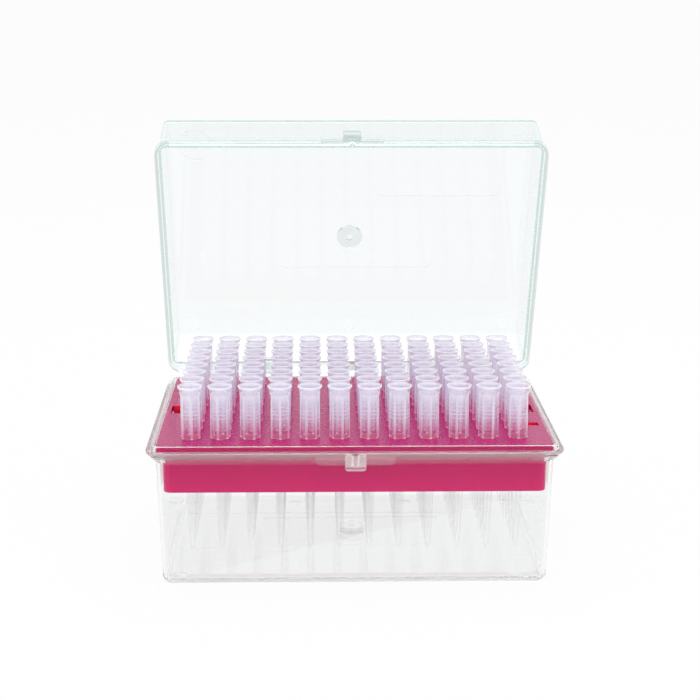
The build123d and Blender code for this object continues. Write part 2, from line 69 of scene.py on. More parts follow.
# %% [markdown]
# ## The camera
#
# A long lens half a metre away keeps the box's sides nearly parallel, as in a catalogue picture. The camera
# looks down on the tray by about 13 degrees, which shows the tips' rims as thin ellipses.
# Its place could be found by eye, but the tips stand on a 9 mm grid, so the grid gives it exactly.

# %% Camera
CAMERA_PLACE = Vector((-12.21, -510.40, 185.92)) * MM
LOOK_DOWN, LOOK_RIGHT, LEAN = math.radians(13.476), math.radians(1.288), math.radians(0.112)
LENS_MM, FILM_MM = 84.77, 36.0
NEAREST = 0.01


def add_camera():
    lens = bpy.data.cameras.new("camera")
    lens.lens = LENS_MM
    lens.sensor_width = FILM_MM
    lens.clip_start = NEAREST
    camera = bpy.data.objects.new("camera", lens)
    bpy.context.scene.collection.objects.link(camera)
    turn = Euler((math.pi / 2 - LOOK_DOWN, 0, -LOOK_RIGHT)).to_matrix() @ Matrix.Rotation(LEAN, 3, "Z")
    camera.matrix_world = Matrix.Translation(CAMERA_PLACE) @ turn.to_4x4()
    bpy.context.scene.camera = camera
    return camera


camera = add_camera()
print("camera at", tuple(round(c, 3) for c in camera.location))

# %% [markdown]
# ## Small helpers for node trees
#
# A material is a graph of nodes, and a few short helpers keep the graphs readable. One adds a node and fills in
# its sockets. One starts a node group with named inputs and outputs: a group is the right tool for an effect
# that several plastics share, because each material then sets only its own numbers.

# %% Node helpers
def add_node(tree, kind, inputs=None, **settings):
    """Adds a node. A value that is a socket is linked, and any other is set."""
    node = tree.nodes.new(kind)
    for name, value in settings.items():
        setattr(node, name, value)
    for name, value in (inputs or {}).items():
        if isinstance(value, bpy.types.NodeSocket):
            tree.links.new(value, node.inputs[name])
        else:
            node.inputs[name].default_value = value
    return node


def add_group(name, inputs, outputs):
    """Starts a node group: inputs are {name: (kind, default)}, outputs are {name: kind}."""
    tree = bpy.data.node_groups.new(name, "ShaderNodeTree")
    for label, (kind, default) in inputs.items():
        socket = tree.interface.new_socket(name=label, in_out="INPUT", socket_type="NodeSocket" + kind)
        socket.default_value = default
    for label, kind in outputs.items():
        tree.interface.new_socket(name=label, in_out="OUTPUT", socket_type="NodeSocket" + kind)
    return tree, tree.nodes.new("NodeGroupInput"), tree.nodes.new("NodeGroupOutput")


def use_group(tree, group, inputs):
    """Places a node group in a material with its own values."""
    node = tree.nodes.new("ShaderNodeGroup")
    node.node_tree = group
    for name, value in inputs.items():
        node.inputs[name].default_value = value
    return node.outputs


def add_material(name, preview):
    """An empty node material. The preview colour is what a plain viewport shows."""
    material = bpy.data.materials.new(name)
    material.use_nodes = True
    material.diffuse_color = preview
    material.node_tree.nodes.clear()
    return material, material.node_tree


print("node helpers ready")

# %% [markdown]
# ## Masks and mixes
#
# Most of a material's nodes do one of a few small jobs: arithmetic on two numbers, a ramp that turns one range
# into another, and a mix of two numbers, two colours or two shaders. Each job gets a short helper that returns
# its socket, so a whole effect reads like a sum.

# %% Masks and mixes
def maths(tree, operation, first, second):
    return add_node(tree, "ShaderNodeMath", {0: first, 1: second}, operation=operation).outputs[0]


def ramp(tree, value, start, end, low=0.0, high=1.0):
    """Runs from low to high as the value runs from start to end, and is level outside them."""
    return add_node(tree, "ShaderNodeMapRange", {
        "Value": value, "From Min": start, "From Max": end, "To Min": low, "To Max": high}).outputs["Result"]


def mix_numbers(tree, share, first, second):
    return add_node(tree, "ShaderNodeMix", {"Factor": share, "A": first, "B": second}).outputs[0]


def mix_colours(tree, share, first, second):
    """The first colour at share 0, the second at share 1. A colour is a socket or three numbers."""
    first, second = [end if isinstance(end, bpy.types.NodeSocket) else (*end, 1) for end in (first, second)]
    return add_node(tree, "ShaderNodeMix", {
        "Factor": share, "A": first, "B": second}, data_type="RGBA").outputs[2]


def mix_shaders(tree, share, first, second):
    return add_node(tree, "ShaderNodeMixShader", {"Fac": share, 1: first, 2: second}).outputs[0]


def object_place(tree):
    return add_node(tree, "ShaderNodeTexCoord").outputs["Object"]


def up_part(tree, vector):
    return add_node(tree, "ShaderNodeSeparateXYZ", {0: vector}).outputs[2]


print("mask and mix helpers ready")

# %% [markdown]
# ## Effect 1: the moulded skin
#
# Injection moulding copies the steel's polish, so a plastic wall is never perfectly smooth: it has faint waves
# from the flow of the melt and a fine haze. A roughness picture would do, but noise has no seams and needs no
# unwrapping. The group mixes a broad noise with a fine one. It puts out a roughness that drifts between two
# limits, and a height for a bump.

# %% Moulded skin group
NOISE_MIDDLE = (0.3, 0.7)  # nearly all of a noise's values lie between these


def noise(tree, place, scale, detail):
    return add_node(tree, "ShaderNodeTexNoise", {
        "Vector": place, "Scale": scale, "Detail": detail}).outputs["Fac"]


def moulded_skin_group():
    inputs = {
        "Wave Scale": ("Float", 40.0),
        "Grain Scale": ("Float", 900.0),
        "Grain Share": ("Float", 0.3),
        "Smoothest": ("Float", 0.05),
        "Roughest": ("Float", 0.12),
    }
    tree, given, result = add_group("moulded skin", inputs, {"Roughness": "Float", "Height": "Float"})
    place = object_place(tree)
    wave = noise(tree, place, given.outputs["Wave Scale"], 2.0)
    grain = noise(tree, place, given.outputs["Grain Scale"], 3.0)
    both = mix_numbers(tree, given.outputs["Grain Share"], wave, grain)
    spread = ramp(tree, both, *NOISE_MIDDLE, given.outputs["Smoothest"], given.outputs["Roughest"])
    tree.links.new(spread, result.inputs["Roughness"])
    tree.links.new(both, result.inputs["Height"])
    return tree


SKIN = moulded_skin_group()
print("group", SKIN.name, "has", len(SKIN.nodes), "nodes")

# %% [markdown]
# ## Effect 2: a mask for one small place
#
# Some places need their own finish: the tub's catch, its flange and its foot, and the windows in the tray.
# A mask says where they are: 1 inside a box, 0 outside. Painting a mask by hand would need a texture, while two
# corners of a box can come straight from the sizes of the part.

# %% Box mask group
def box_mask_group():
    inputs = {"Low": ("Vector", (0, 0, 0)), "High": ("Vector", (0, 0, 0))}
    tree, given, result = add_group("box mask", inputs, {"Mask": "Float"})
    place = object_place(tree)
    above = add_node(tree, "ShaderNodeVectorMath", {
        0: place, 1: given.outputs["Low"]}, operation="SUBTRACT").outputs[0]
    below = add_node(tree, "ShaderNodeVectorMath", {
        0: given.outputs["High"], 1: place}, operation="SUBTRACT").outputs[0]
    room = add_node(tree, "ShaderNodeVectorMath", {0: above, 1: below}, operation="MINIMUM").outputs[0]
    sides = add_node(tree, "ShaderNodeSeparateXYZ", {0: room}).outputs
    least = maths(tree, "MINIMUM", maths(tree, "MINIMUM", sides[0], sides[1]), sides[2])
    tree.links.new(maths(tree, "GREATER_THAN", least, 0.0), result.inputs["Mask"])
    return tree


BOX_MASK = box_mask_group()
print("group", BOX_MASK.name, "has", len(BOX_MASK.nodes), "nodes")

# %% [markdown]
# ## Clear polypropylene: tub and lid
#
# Clear polypropylene bends light like glass of index 1.49, but it also scatters a little. A thin wall looks
# clear, while light that runs a long way through a rim, a corner or the catch comes out darker and milky.
# Real volume scattering would show this and take very long to render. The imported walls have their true
# thickness, so the length of the ray inside the plastic is known where it leaves. Past a thin wall's length,
# the tint deepens, which draws the lines round a rim that make a clear box readable.
#
# A wall that is turned away is looked through at a slant, so it is tinted as well. Seen head-on, a strong
# reflection would lay a haze over what stands behind, so the sheen is low there. Seen at a grazing angle it is
# full, because light inside the wall is wholly reflected at that angle.

# %% Clear shader
PLASTIC_IOR = 1.49
CLEAR_SKIN = {
    "Wave Scale": 30.0, "Grain Scale": 900.0, "Grain Share": 0.0, "Smoothest": 0.0, "Roughest": 0.03}
CLEAR_BUMP, CLEAR_WAVE = 0.02, 0.2 * MM
CLEAR_EDGE = 0.35
SLANTED, GRAZING = (0.15, 0.85), (0.06, 0.18)
HEAD_ON_SHEEN, GRAZING_SHEEN = (0.2, 0.2, 0.2), (1, 1, 1)


def path_in_wall(tree, ray, look):
    """0 where light leaves a thin wall, up to 1 where it has run through thick plastic."""
    leaving = add_node(tree, "ShaderNodeNewGeometry").outputs["Backfacing"]
    long_path = ramp(tree, ray["Ray Length"], look["clear path"], look["deep path"])
    return maths(tree, "MULTIPLY", long_path, leaving)


def bump(tree, surface, strength, distance):
    return add_node(tree, "ShaderNodeBump", {
        "Strength": strength, "Distance": distance, "Height": surface["Height"]}).outputs["Normal"]


def clear_shader(tree, deep, look):
    surface = use_group(tree, SKIN, CLEAR_SKIN)
    facing = add_node(tree, "ShaderNodeLayerWeight", {"Blend": CLEAR_EDGE}).outputs["Facing"]
    dark = maths(tree, "MAXIMUM", deep, ramp(tree, facing, *SLANTED, 0.0, look["slant share"]))
    return add_node(tree, "ShaderNodeBsdfPrincipled", {
        "Base Color": mix_colours(tree, dark, look["tint"], look["deep tint"]),
        "Roughness": surface["Roughness"], "IOR": PLASTIC_IOR, "Transmission Weight": 1.0,
        "Specular Tint": mix_colours(tree, ramp(tree, facing, *GRAZING), HEAD_ON_SHEEN, GRAZING_SHEEN),
        "Normal": bump(tree, surface, CLEAR_BUMP, CLEAR_WAVE)}).outputs[0]


print("clear shader bends light by an index of", PLASTIC_IOR)

# %% [markdown]
# ## Where the clear plastic is milky
#
# The milky shader sends light to both sides, as a scattering plastic does. It shows in two cases:
# - at the thick places, which are the flange, the catch and the foot. A place is milky either all through or
#   only where light has run a long way inside it.
# - for rays that stay caught between two faces and would end black. In real plastic such light scatters and
#   gets out, so past seven bounces they meet the milky shader.
#
# Lamps must reach the tray through the wall, so shadow rays see a nearly clear transparent shader instead.

# %% Milky shader, and the whole clear plastic
TRAPPED_AFTER = 7.0
LAMP_TINT = (0.96, 0.97, 0.97)


def milky_shader(tree, tint):
    back = add_node(tree, "ShaderNodeBsdfDiffuse", {"Color": (*tint, 1)}).outputs[0]
    through = add_node(tree, "ShaderNodeBsdfTranslucent", {"Color": (*tint, 1)}).outputs[0]
    return mix_shaders(tree, 0.5, back, through)


def milk_share(tree, ray, deep, places):
    amount = maths(tree, "GREATER_THAN", ray["Ray Depth"], TRAPPED_AFTER)
    for low, high, share, all_through in places:
        inside = use_group(tree, BOX_MASK, {"Low": low, "High": high})["Mask"]
        here = maths(tree, "MULTIPLY", inside, share)
        if not all_through:
            here = maths(tree, "MULTIPLY", here, deep)
        amount = maths(tree, "MAXIMUM", amount, here)
    return amount


def finish_material(tree, ray, seen, lamp_tint):
    """Shows the seen shader to every ray but a shadow ray, which passes through with a tint."""
    lamp = add_node(tree, "ShaderNodeBsdfTransparent", {"Color": (*lamp_tint, 1)}).outputs[0]
    add_node(tree, "ShaderNodeOutputMaterial", {
        "Surface": mix_shaders(tree, ray["Is Shadow Ray"], seen, lamp)})


def clear_plastic(name, look):
    material, tree = add_material(name, (*look["tint"], 0.3))
    ray = add_node(tree, "ShaderNodeLightPath").outputs
    deep = path_in_wall(tree, ray, look)
    share = milk_share(tree, ray, deep, look["milky places"])
    seen = mix_shaders(tree, share, clear_shader(tree, deep, look), milky_shader(tree, look["milk tint"]))
    finish_material(tree, ray, seen, LAMP_TINT)
    return material


print("caught rays turn milky after", TRAPPED_AFTER, "bounces")

# %% [markdown]
# ## The tub's and the lid's own values
#
# The tub is a neutral clear. Its thick places are given as boxes, from the sizes of the tub: the catch, the
# flange with its shelf, the floor and the floor's front edge. The lid has thinner walls and a faint green cast,
# which real clear polypropylene shows along its edges.

# %% Tub and lid plastics
SHELF_TOP = TRAY_HIGH.z - 1.8 * MM
CATCH_HALF, CATCH_FOOT, CATCH_REACH = 3.2 * MM, 4.5 * MM, 2.7 * MM
FLANGE_RISE, FLANGE_DEPTH, FLOOR_DEPTH, FOOT_EDGE = 3.0 * MM, 4.0 * MM, 2.0 * MM, 2.0 * MM


def milky_places():
    """Rows of (low corner, high corner, share of milk, whether it is milky all through)."""
    catch_low = Vector((-CATCH_HALF, TUB_LOW.y - MM, SHELF_TOP - CATCH_FOOT))
    catch_high = Vector((CATCH_HALF, TUB_LOW.y + CATCH_REACH, SHELF_TOP + MM))
    flange_low = Vector((TUB_LOW.x - MM, TUB_LOW.y - MM, SHELF_TOP - FLANGE_DEPTH))
    flange_high = Vector((TUB_HIGH.x + MM, TUB_HIGH.y + MM, SHELF_TOP + FLANGE_RISE))
    shelf_high = Vector((flange_high.x, flange_high.y, SHELF_TOP))
    foot = [vertex.co for vertex in nodes["base"].data.vertices if vertex.co.z < FLOOR_DEPTH]
    foot_low = Vector((min(spot.x for spot in foot), min(spot.y for spot in foot), TUB_LOW.z - MM))
    foot_high = Vector((max(spot.x for spot in foot), foot_low.y + FOOT_EDGE, FLOOR_DEPTH))
    floor_high = Vector((foot_high.x, max(spot.y for spot in foot), FLOOR_DEPTH))
    return [
        (flange_low, flange_high, 0.85, False),
        (flange_low, shelf_high, 0.06, True),
        (catch_low, catch_high, 0.25, True),
        (foot_low, foot_high, 0.45, True),
        (foot_low, floor_high, 0.06, True),
    ]


tub_plastic = clear_plastic("clear tub", {
    "tint": (0.965, 0.97, 0.97), "deep tint": (0.80, 0.84, 0.86),
    "clear path": 1.4 * MM, "deep path": 5.0 * MM, "slant share": 0.3,
    "milk tint": (0.96, 0.95, 0.95), "milky places": milky_places()})
lid_plastic = clear_plastic("clear lid", {
    "tint": (0.965, 0.987, 0.99), "deep tint": (0.44, 0.55, 0.52),
    "clear path": 1.05 * MM, "deep path": 2.6 * MM, "slant share": 0.0,
    "milk tint": (0.72, 0.84, 0.80), "milky places": []})
print("made", tub_plastic.name, "and", lid_plastic.name)

# %% [markdown]
# ## The magenta tray
#
# The tray is the same plastic with a strong pigment, so nearly all its colour comes from just under the
# surface. A little subsurface scattering lets light bleed round its edges. The top is moulded against an etched
# steel face, so it has a fine grain; its colour is a painted tint, a little darker and more violet than the
# skirt, for the bright room's light that falls on it. The skirt hangs in the clear tub; its colour is painted
# darker near its top, painted shade under the flange, and gets lighter towards its lower edge. The windows are
# painted a bright red, painted light that stands in for light bleeding through their thin walls.
# Separate materials could only change from one face to the next, so one material does it all, with masks from
# the surface's direction, height and place.

# %% Magenta tray
TRAY_SKIN = {
    "Wave Scale": 150.0, "Grain Scale": 1200.0, "Grain Share": 0.8, "Smoothest": 0.12, "Roughest": 0.34}
TRAY_BUMP, TRAY_GRAIN = 0.45, 0.1 * MM
FACES_UP = (0.5, 0.9)
SIDE_SHEEN, TOP_SHEEN = 0.25, 0.22
# The skirt's colour runs from painted shade at its top, under the flange, to a lighter foot.
SKIRT_SHADED_TOP, SKIRT_FOOT = (0.48, 0.006, 0.105), (0.66, 0.012, 0.15)
# The windows' red is painted light that stands in for light bleeding through them; the top's violet is a
# painted tint for the room's light.
WINDOW_PAINTED_GLOW, TOP_PAINTED_VIOLET = (0.95, 0.015, 0.07), (0.46, 0.002, 0.14)
# The skirt's painted shade is full above this height and fades out down to its foot.
SKIRT_SHADE_START = TRAY_HIGH.z - 4 * MM
WINDOW_INSET = Vector((2.1 * MM, 8.0 * MM, -4.2 * MM))


def tray_colour(tree, top):
    height = up_part(tree, object_place(tree))
    # painted shade: darker under the flange, fading towards the skirt's foot
    drop = ramp(tree, height, SKIRT_SHADE_START, TRAY_LOW.z)
    # painted light: the windows are given a bright red glow
    glow_window_mask = use_group(tree, BOX_MASK, {
        "Low": Vector((TRAY_LOW.x, TRAY_LOW.y, TRAY_HIGH.z)) + WINDOW_INSET,
        "High": TRAY_HIGH - WINDOW_INSET})["Mask"]
    side = mix_colours(tree, glow_window_mask, mix_colours(tree, drop, SKIRT_SHADED_TOP, SKIRT_FOOT), WINDOW_PAINTED_GLOW)
    # painted tint: faces that turn up are darker and more violet, for the room's light that falls on them
    return mix_colours(tree, top, side, TOP_PAINTED_VIOLET)


def tray_plastic_material():
    material, tree = add_material("magenta tray", (0.5, 0.03, 0.12, 1))
    surface = use_group(tree, SKIN, TRAY_SKIN)
    normal = add_node(tree, "ShaderNodeTexCoord").outputs["Normal"]
    top = ramp(tree, up_part(tree, normal), *FACES_UP)
    solid = add_node(tree, "ShaderNodeBsdfPrincipled", {
        "Base Color": tray_colour(tree, top), "Roughness": surface["Roughness"], "IOR": PLASTIC_IOR,
        "Subsurface Weight": 0.35, "Subsurface Radius": (1.0, 0.12, 0.25), "Subsurface Scale": 2.0 * MM,
        "Specular IOR Level": mix_numbers(tree, top, SIDE_SHEEN, TOP_SHEEN),
        "Normal": bump(tree, surface, TRAY_BUMP, TRAY_GRAIN)})
    add_node(tree, "ShaderNodeOutputMaterial", {"Surface": solid.outputs[0]})
    return material


tray_plastic = tray_plastic_material()
print("made", tray_plastic.name)

# %% [markdown]
# ## The tips' thin wall
#
# A tip's wall is half a millimetre or less, so a refracting shader would mostly make noise. The wall is better
# treated as a thin film: an opaque milky surface whose cover says how much of it is seen. The cover is high
# where the plastic is thick (a "wall" value stored on the mesh) and where the wall turns edge-on.
#
# Reflections of the tips in the lid and the tray should be as milky as the tips, and a thin film would vanish
# there. So a glossy ray gets extra cover, but not one that has come through the clear plastic.

# %% Cover of the film
TIP_EDGE, EDGE_MILK, EDGE_START_BELOW, EDGE_START_ABOVE = 0.3, 0.75, 0.28, 0.35
MIRRORED_MILK = 0.6


def film_cover(tree, over_tray):
    wall = add_node(tree, "ShaderNodeAttribute", attribute_name="wall").outputs["Fac"]
    facing = add_node(tree, "ShaderNodeLayerWeight", {"Blend": TIP_EDGE}).outputs["Facing"]
    start = mix_numbers(tree, over_tray, EDGE_START_BELOW, EDGE_START_ABOVE)
    edge = ramp(tree, facing, start, 1.0, 0.0, EDGE_MILK)
    return add_node(tree, "ShaderNodeMath", {0: wall, 1: edge}, operation="ADD", use_clamp=True).outputs[0]


def mirrored_cover(tree, ray, over_tray):
    bounced = maths(tree, "SUBTRACT", ray["Is Glossy Ray"], ray["Is Transmission Ray"])
    return maths(tree, "MULTIPLY", maths(tree, "MULTIPLY", bounced, over_tray), MIRRORED_MILK)


print("an edge-on wall is covered by", EDGE_MILK, "and a mirrored one by at least", MIRRORED_MILK)

# %% [markdown]
# ## The natural plastic of the tips
#
# Magenta light from the tray runs up inside the wall. It is painted into the film's tint as a painted glow,
# from magenta at the seat to a pale lilac above. Below the tray there is no such glow, and only thin grey
# outlines stay. The glow could be left to the light itself, but that takes very many samples, and a painted
# ramp by height costs nothing.

# %% Natural plastic of the tips
TIP_SKIN = {
    "Wave Scale": 300.0, "Grain Scale": 3000.0, "Grain Share": 0.4, "Smoothest": 0.06, "Roughest": 0.12}
GLOW_RISE = 5.0 * MM
# The seat's magenta and the body's lilac are a painted glow of the tray's light.
SEAT_PAINTED_GLOW, BODY_PAINTED_LILAC, MILK_WHITE = (0.72, 0.05, 0.36), (0.75, 0.74, 0.90), (1, 1, 1)
CONE_CLEAR, CONE_OUTLINE = (0.86, 0.87, 0.90), (0.40, 0.44, 0.52)
TIP_LAMP_TINT = (0.97, 0.96, 0.98)


def film_tint(tree, height, over_tray, film):
    # painted glow: magenta at the seat, fading to lilac above
    glow = ramp(tree, height, TRAY_HIGH.z, TRAY_HIGH.z + GLOW_RISE)
    thin = mix_colours(tree, over_tray, CONE_CLEAR, mix_colours(tree, glow, SEAT_PAINTED_GLOW, BODY_PAINTED_LILAC))
    thick = mix_colours(tree, over_tray, CONE_OUTLINE, MILK_WHITE)
    return mix_colours(tree, film, thin, thick)


def tip_plastic_material():
    material, tree = add_material("natural tips", (0.9, 0.88, 0.95, 0.5))
    surface = use_group(tree, SKIN, TIP_SKIN)
    ray = add_node(tree, "ShaderNodeLightPath").outputs
    height = up_part(tree, object_place(tree))
    over_tray = maths(tree, "GREATER_THAN", height, TRAY_LOW.z)
    film = film_cover(tree, over_tray)
    milky = add_node(tree, "ShaderNodeBsdfPrincipled", {
        "Base Color": film_tint(tree, height, over_tray, film),
        "Roughness": surface["Roughness"], "IOR": PLASTIC_IOR, "Specular IOR Level": 1.0,
        "Alpha": maths(tree, "MAXIMUM", film, mirrored_cover(tree, ray, over_tray))})
    finish_material(tree, ray, milky.outputs[0], TIP_LAMP_TINT)
    return material


tip_plastic = tip_plastic_material()
print("made", tip_plastic.name)

# %% [markdown]
# ## Giving the CAD pieces their plastics
#
# The tub, the lid and the tray are finished shapes from CAD, with their rounds already cut. They only need a
# material each.

# %% Plastics on the tub, lid and tray
def give_material(piece, material):
    piece.data.materials.clear()
    piece.data.materials.append(material)


for name, material in (("base", tub_plastic), ("lid", lid_plastic), ("tray", tray_plastic)):
    give_material(nodes[name], material)
print("plastics given to the tub, lid and tray")

# %% [markdown]
# ## The tips' sizes
#
# A tip is one turned form: a flared rim that guides the pipette in, a short collar, a body with six ribs that
# end on the tray, and a long cone down to a fine mouth. Three fine rings mark volumes.
# The length, the rim and the seat are read from the CAD tips. The rest are set here.

# %% Tip sizes
tip_low, tip_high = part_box(TIP_NODES[0])
RIM_RADIUS = (tip_high.x - tip_low.x) / 2
TIP_LENGTH, SEAT_DEPTH = tip_high.z - tip_low.z, tip_high.z - TRAY_HIGH.z
LIP_ROUND, LIP_END, LIP_TAPER = 0.14 * MM, 0.45 * MM, 0.06 * MM
COLLAR_RADIUS, COLLAR_TOP, COLLAR_END = 3.14 * MM, 1.2 * MM, 2.6 * MM
COLLAR_FLARE, COLLAR_FLARE_DEPTH, COLLAR_BREAK, COLLAR_BREAK_DEPTH = 0.03 * MM, 0.25 * MM, 0.07 * MM, 0.1 * MM
BODY_TOP_RADIUS, BODY_SEAT_RADIUS = 2.75 * MM, 2.68 * MM
MIDDLE_RADIUS, MIDDLE_DEPTH = 1.65 * MM, SEAT_DEPTH + 14.9 * MM
NOSE_RADIUS, NOSE_DEPTH = 0.95 * MM, TIP_LENGTH - 3.0 * MM
MOUTH_RADIUS, MOUTH_BORE, MOUTH_BREAK, MOUTH_BREAK_DEPTH = 0.42 * MM, 0.25 * MM, 0.04 * MM, 0.05 * MM
BORE_STEP, BORE_STEP_DEPTH = 0.06 * MM, 0.2 * MM
RIM_WALL, BODY_WALL, NOSE_WALL = 0.35 * MM, 0.5 * MM, 0.35 * MM
RIBS, RIB_TOP_RADIUS, RIB_FOOT_RADIUS, RIB_HALF_ANGLE = 6, 3.02 * MM, 3.06 * MM, 6.8
RIB_END, RIB_FADE, RIB_SHRINK, STEP_GAP = 0.6 * MM, 0.1 * MM, 0.8, 0.01 * MM
MARK_DEPTHS, MARK_RISE, MARK_HALF = (7.6 * MM, 8.6 * MM, 9.8 * MM), 0.05 * MM, 0.15 * MM
FOOT_GLOW = 2.5 * MM
print("tips are", round(TIP_LENGTH / MM, 2), "mm long and seat", round(SEAT_DEPTH / MM, 2), "mm down")

# %% [markdown]
# ## The tips' tapers
#
# The body, the ribs and the cone are straight tapers between places whose radius is known. A table of radii
# could list every ring, but a function of the depth gives the radius anywhere, such as at a mark.

# %% Tip tapers
def body_radius(depth):
    share = (depth - COLLAR_END) / (SEAT_DEPTH - COLLAR_END)
    return BODY_TOP_RADIUS + share * (BODY_SEAT_RADIUS - BODY_TOP_RADIUS)


def rib_rise(depth):
    share = (depth - COLLAR_END) / (SEAT_DEPTH - COLLAR_END)
    return RIB_TOP_RADIUS + share * (RIB_FOOT_RADIUS - RIB_TOP_RADIUS) - body_radius(depth)


def cone_radius(below_seat):
    return BODY_SEAT_RADIUS + below_seat / (MIDDLE_DEPTH - SEAT_DEPTH) * (MIDDLE_RADIUS - BODY_SEAT_RADIUS)


print("ribs stand out", round(rib_rise(COLLAR_END) / MM, 2), "to", round(rib_rise(SEAT_DEPTH) / MM, 2), "mm")

# %% [markdown]
# ## The tips' outside
#
# A plain lathe can't make ribs, so the mesh is a stack of rings: each ring is a circle whose radius is pushed
# out where a rib runs. A ring is written as (depth, radius, share of a rib's rise there), from the rim down.
# A sharp step, such as the collar's end, is two rings at one depth. A soft corner is four rings along an arc.

# %% Rings of the outside
def rounded_corner(depth, radius, size, first, last):
    """Rings round a corner: (depth, radius) is the arc's centre, and angles turn from outwards to upwards."""
    angles = [math.radians(first + (last - first) * step / 3) for step in range(4)]
    return [(depth - size * math.sin(a), radius + size * math.cos(a), 0.0) for a in angles]


def head_rings():
    """The lip and the collar."""
    rings = rounded_corner(LIP_ROUND, RIM_RADIUS - LIP_ROUND, LIP_ROUND, 90, 0)
    rings.append((LIP_END, RIM_RADIUS - LIP_TAPER, 0.0))
    rings.append((COLLAR_TOP, COLLAR_RADIUS + COLLAR_FLARE, 0.0))
    rings.append((COLLAR_TOP + COLLAR_FLARE_DEPTH, COLLAR_RADIUS, 0.0))
    rings.append((COLLAR_END - COLLAR_BREAK_DEPTH, COLLAR_RADIUS, 0.0))
    rings.append((COLLAR_END, COLLAR_RADIUS - COLLAR_BREAK, 0.0))
    return rings


def body_rings():
    """The ribbed body with its three marks, down to the seat."""
    rings = [(COLLAR_END, body_radius(COLLAR_END), 1.0)]
    mark = ((-MARK_HALF, 0), (-MARK_HALF / 2, MARK_RISE), (MARK_HALF / 2, MARK_RISE), (MARK_HALF, 0))
    for depth in MARK_DEPTHS:
        rings += [(depth + offset, body_radius(depth) + rise, 1.0) for offset, rise in mark]
    seat_radius = body_radius(SEAT_DEPTH)
    rings.append((SEAT_DEPTH - RIB_END, seat_radius, 1.0))
    rings.append((SEAT_DEPTH - RIB_FADE, seat_radius, 1.0))
    rings.append((SEAT_DEPTH, seat_radius, RIB_SHRINK))
    return rings


def cone_rings():
    """The plain cone from the seat to the mouth."""
    rings = [(SEAT_DEPTH + STEP_GAP, BODY_SEAT_RADIUS, 0.0)]
    rings += [(SEAT_DEPTH + drop, cone_radius(drop), 0.0) for drop in (FOOT_GLOW, 2 * FOOT_GLOW)]
    rings.append((MIDDLE_DEPTH, MIDDLE_RADIUS, 0.0))
    rings.append((NOSE_DEPTH, NOSE_RADIUS, 0.0))
    rings.append((TIP_LENGTH - MOUTH_BREAK_DEPTH, MOUTH_RADIUS, 0.0))
    rings.append((TIP_LENGTH, MOUTH_RADIUS - MOUTH_BREAK, 0.0))
    return rings


OUTSIDE = head_rings() + body_rings() + cone_rings()
print(len(OUTSIDE), "rings from the rim down to the mouth")

# %% [markdown]
# ## The tips' bore
#
# The rims are open and show the inside, so a tip can't be a solid. A thickness modifier would give one wall all
# the way, while a real tip is thinner at its mouth and rim. So the inside is a stack of rings of its own, which
# runs back up from the mouth and closes the wall at the lip.

# %% Rings of the bore
def bore_rings():
    """The inside, from the mouth back up to the lip."""
    rings = [(TIP_LENGTH, MOUTH_BORE, 0.0)]
    rings.append((NOSE_DEPTH, NOSE_RADIUS - NOSE_WALL, 0.0))
    rings.append((MIDDLE_DEPTH, MIDDLE_RADIUS - BODY_WALL, 0.0))
    rings.append((SEAT_DEPTH, BODY_SEAT_RADIUS - BODY_WALL, 0.0))
    rings.append((COLLAR_TOP + BORE_STEP_DEPTH, BODY_TOP_RADIUS - RIM_WALL, 0.0))
    rings.append((COLLAR_TOP, BODY_TOP_RADIUS - RIM_WALL + BORE_STEP, 0.0))
    return rings + rounded_corner(LIP_ROUND, RIM_RADIUS - RIM_WALL + LIP_ROUND, LIP_ROUND, 180, 90)


BORE = bore_rings()
print(len(BORE), "rings from the mouth back up to the lip")

# %% [markdown]
# ## How milky each part of a tip is
#
# The thicker the wall, the more light it scatters, so the lip, the collar's end, the ribs and the marks show as
# pale lines on a nearly clear body. Round the seat the wall is given more cover, so that the painted glow of
# the tray's light shows there. Thickness could be measured on the mesh, but the form is known, so a few rules
# by depth are enough.
# The value is stored on the mesh's points, where the material reads it.

# %% Milkiness
LIP_MILK, COLLAR_MILK, COLLAR_END_MILK, MARK_MILK, RIB_MILK, RIB_FOOT_MILK = 0.8, 0.22, 0.5, 0.5, 0.48, 1.0
BODY_MILK_TOP, BODY_MILK_LOSS, SEAT_GLOW_COVER, CONE_MILK, BORE_MILK = 0.17, 0.10, 0.5, 0.03, 0.25
LIP_DEPTH, STEP_MARGIN, SEAT_MARGIN, RIB_FOOT = 0.5 * MM, 0.05 * MM, 0.3 * MM, 0.2 * MM
GLOW_SHARE, MARK_SHARE, ON_RIB = 1.5, 0.7, 0.5


def is_mark(depth):
    return any(abs(depth - mark) < MARK_SHARE * MARK_HALF for mark in MARK_DEPTHS)


def milkiness(depth, rib):
    if depth < LIP_DEPTH:
        return LIP_MILK
    if depth < COLLAR_END - STEP_MARGIN:
        return COLLAR_MILK
    if depth > SEAT_DEPTH + GLOW_SHARE * FOOT_GLOW:
        return CONE_MILK
    if depth > SEAT_DEPTH - SEAT_MARGIN and rib < ON_RIB:
        # more cover round the seat, to show the painted glow of the tray's light
        return SEAT_GLOW_COVER
    if depth < COLLAR_END + STEP_MARGIN:
        return COLLAR_END_MILK
    if is_mark(depth):
        return MARK_MILK
    if rib > ON_RIB:
        return RIB_FOOT_MILK if depth > SEAT_DEPTH - RIB_FOOT else RIB_MILK
    return BODY_MILK_TOP - BODY_MILK_LOSS * depth / SEAT_DEPTH


print("the lip's milkiness is", milkiness(0.0, 0.0), "and a rib's", milkiness(SEAT_DEPTH / 2, 1.0))

# %% [markdown]
# ## The tips' mesh
#
# Neighbouring rings are joined with four-sided faces. Points stand close together at a rib's flanks and wider
# apart between ribs, which keeps the mesh light: there are 96 tips. The faces are shaded smooth, and edges that
# turn by more than a set angle stay sharp.

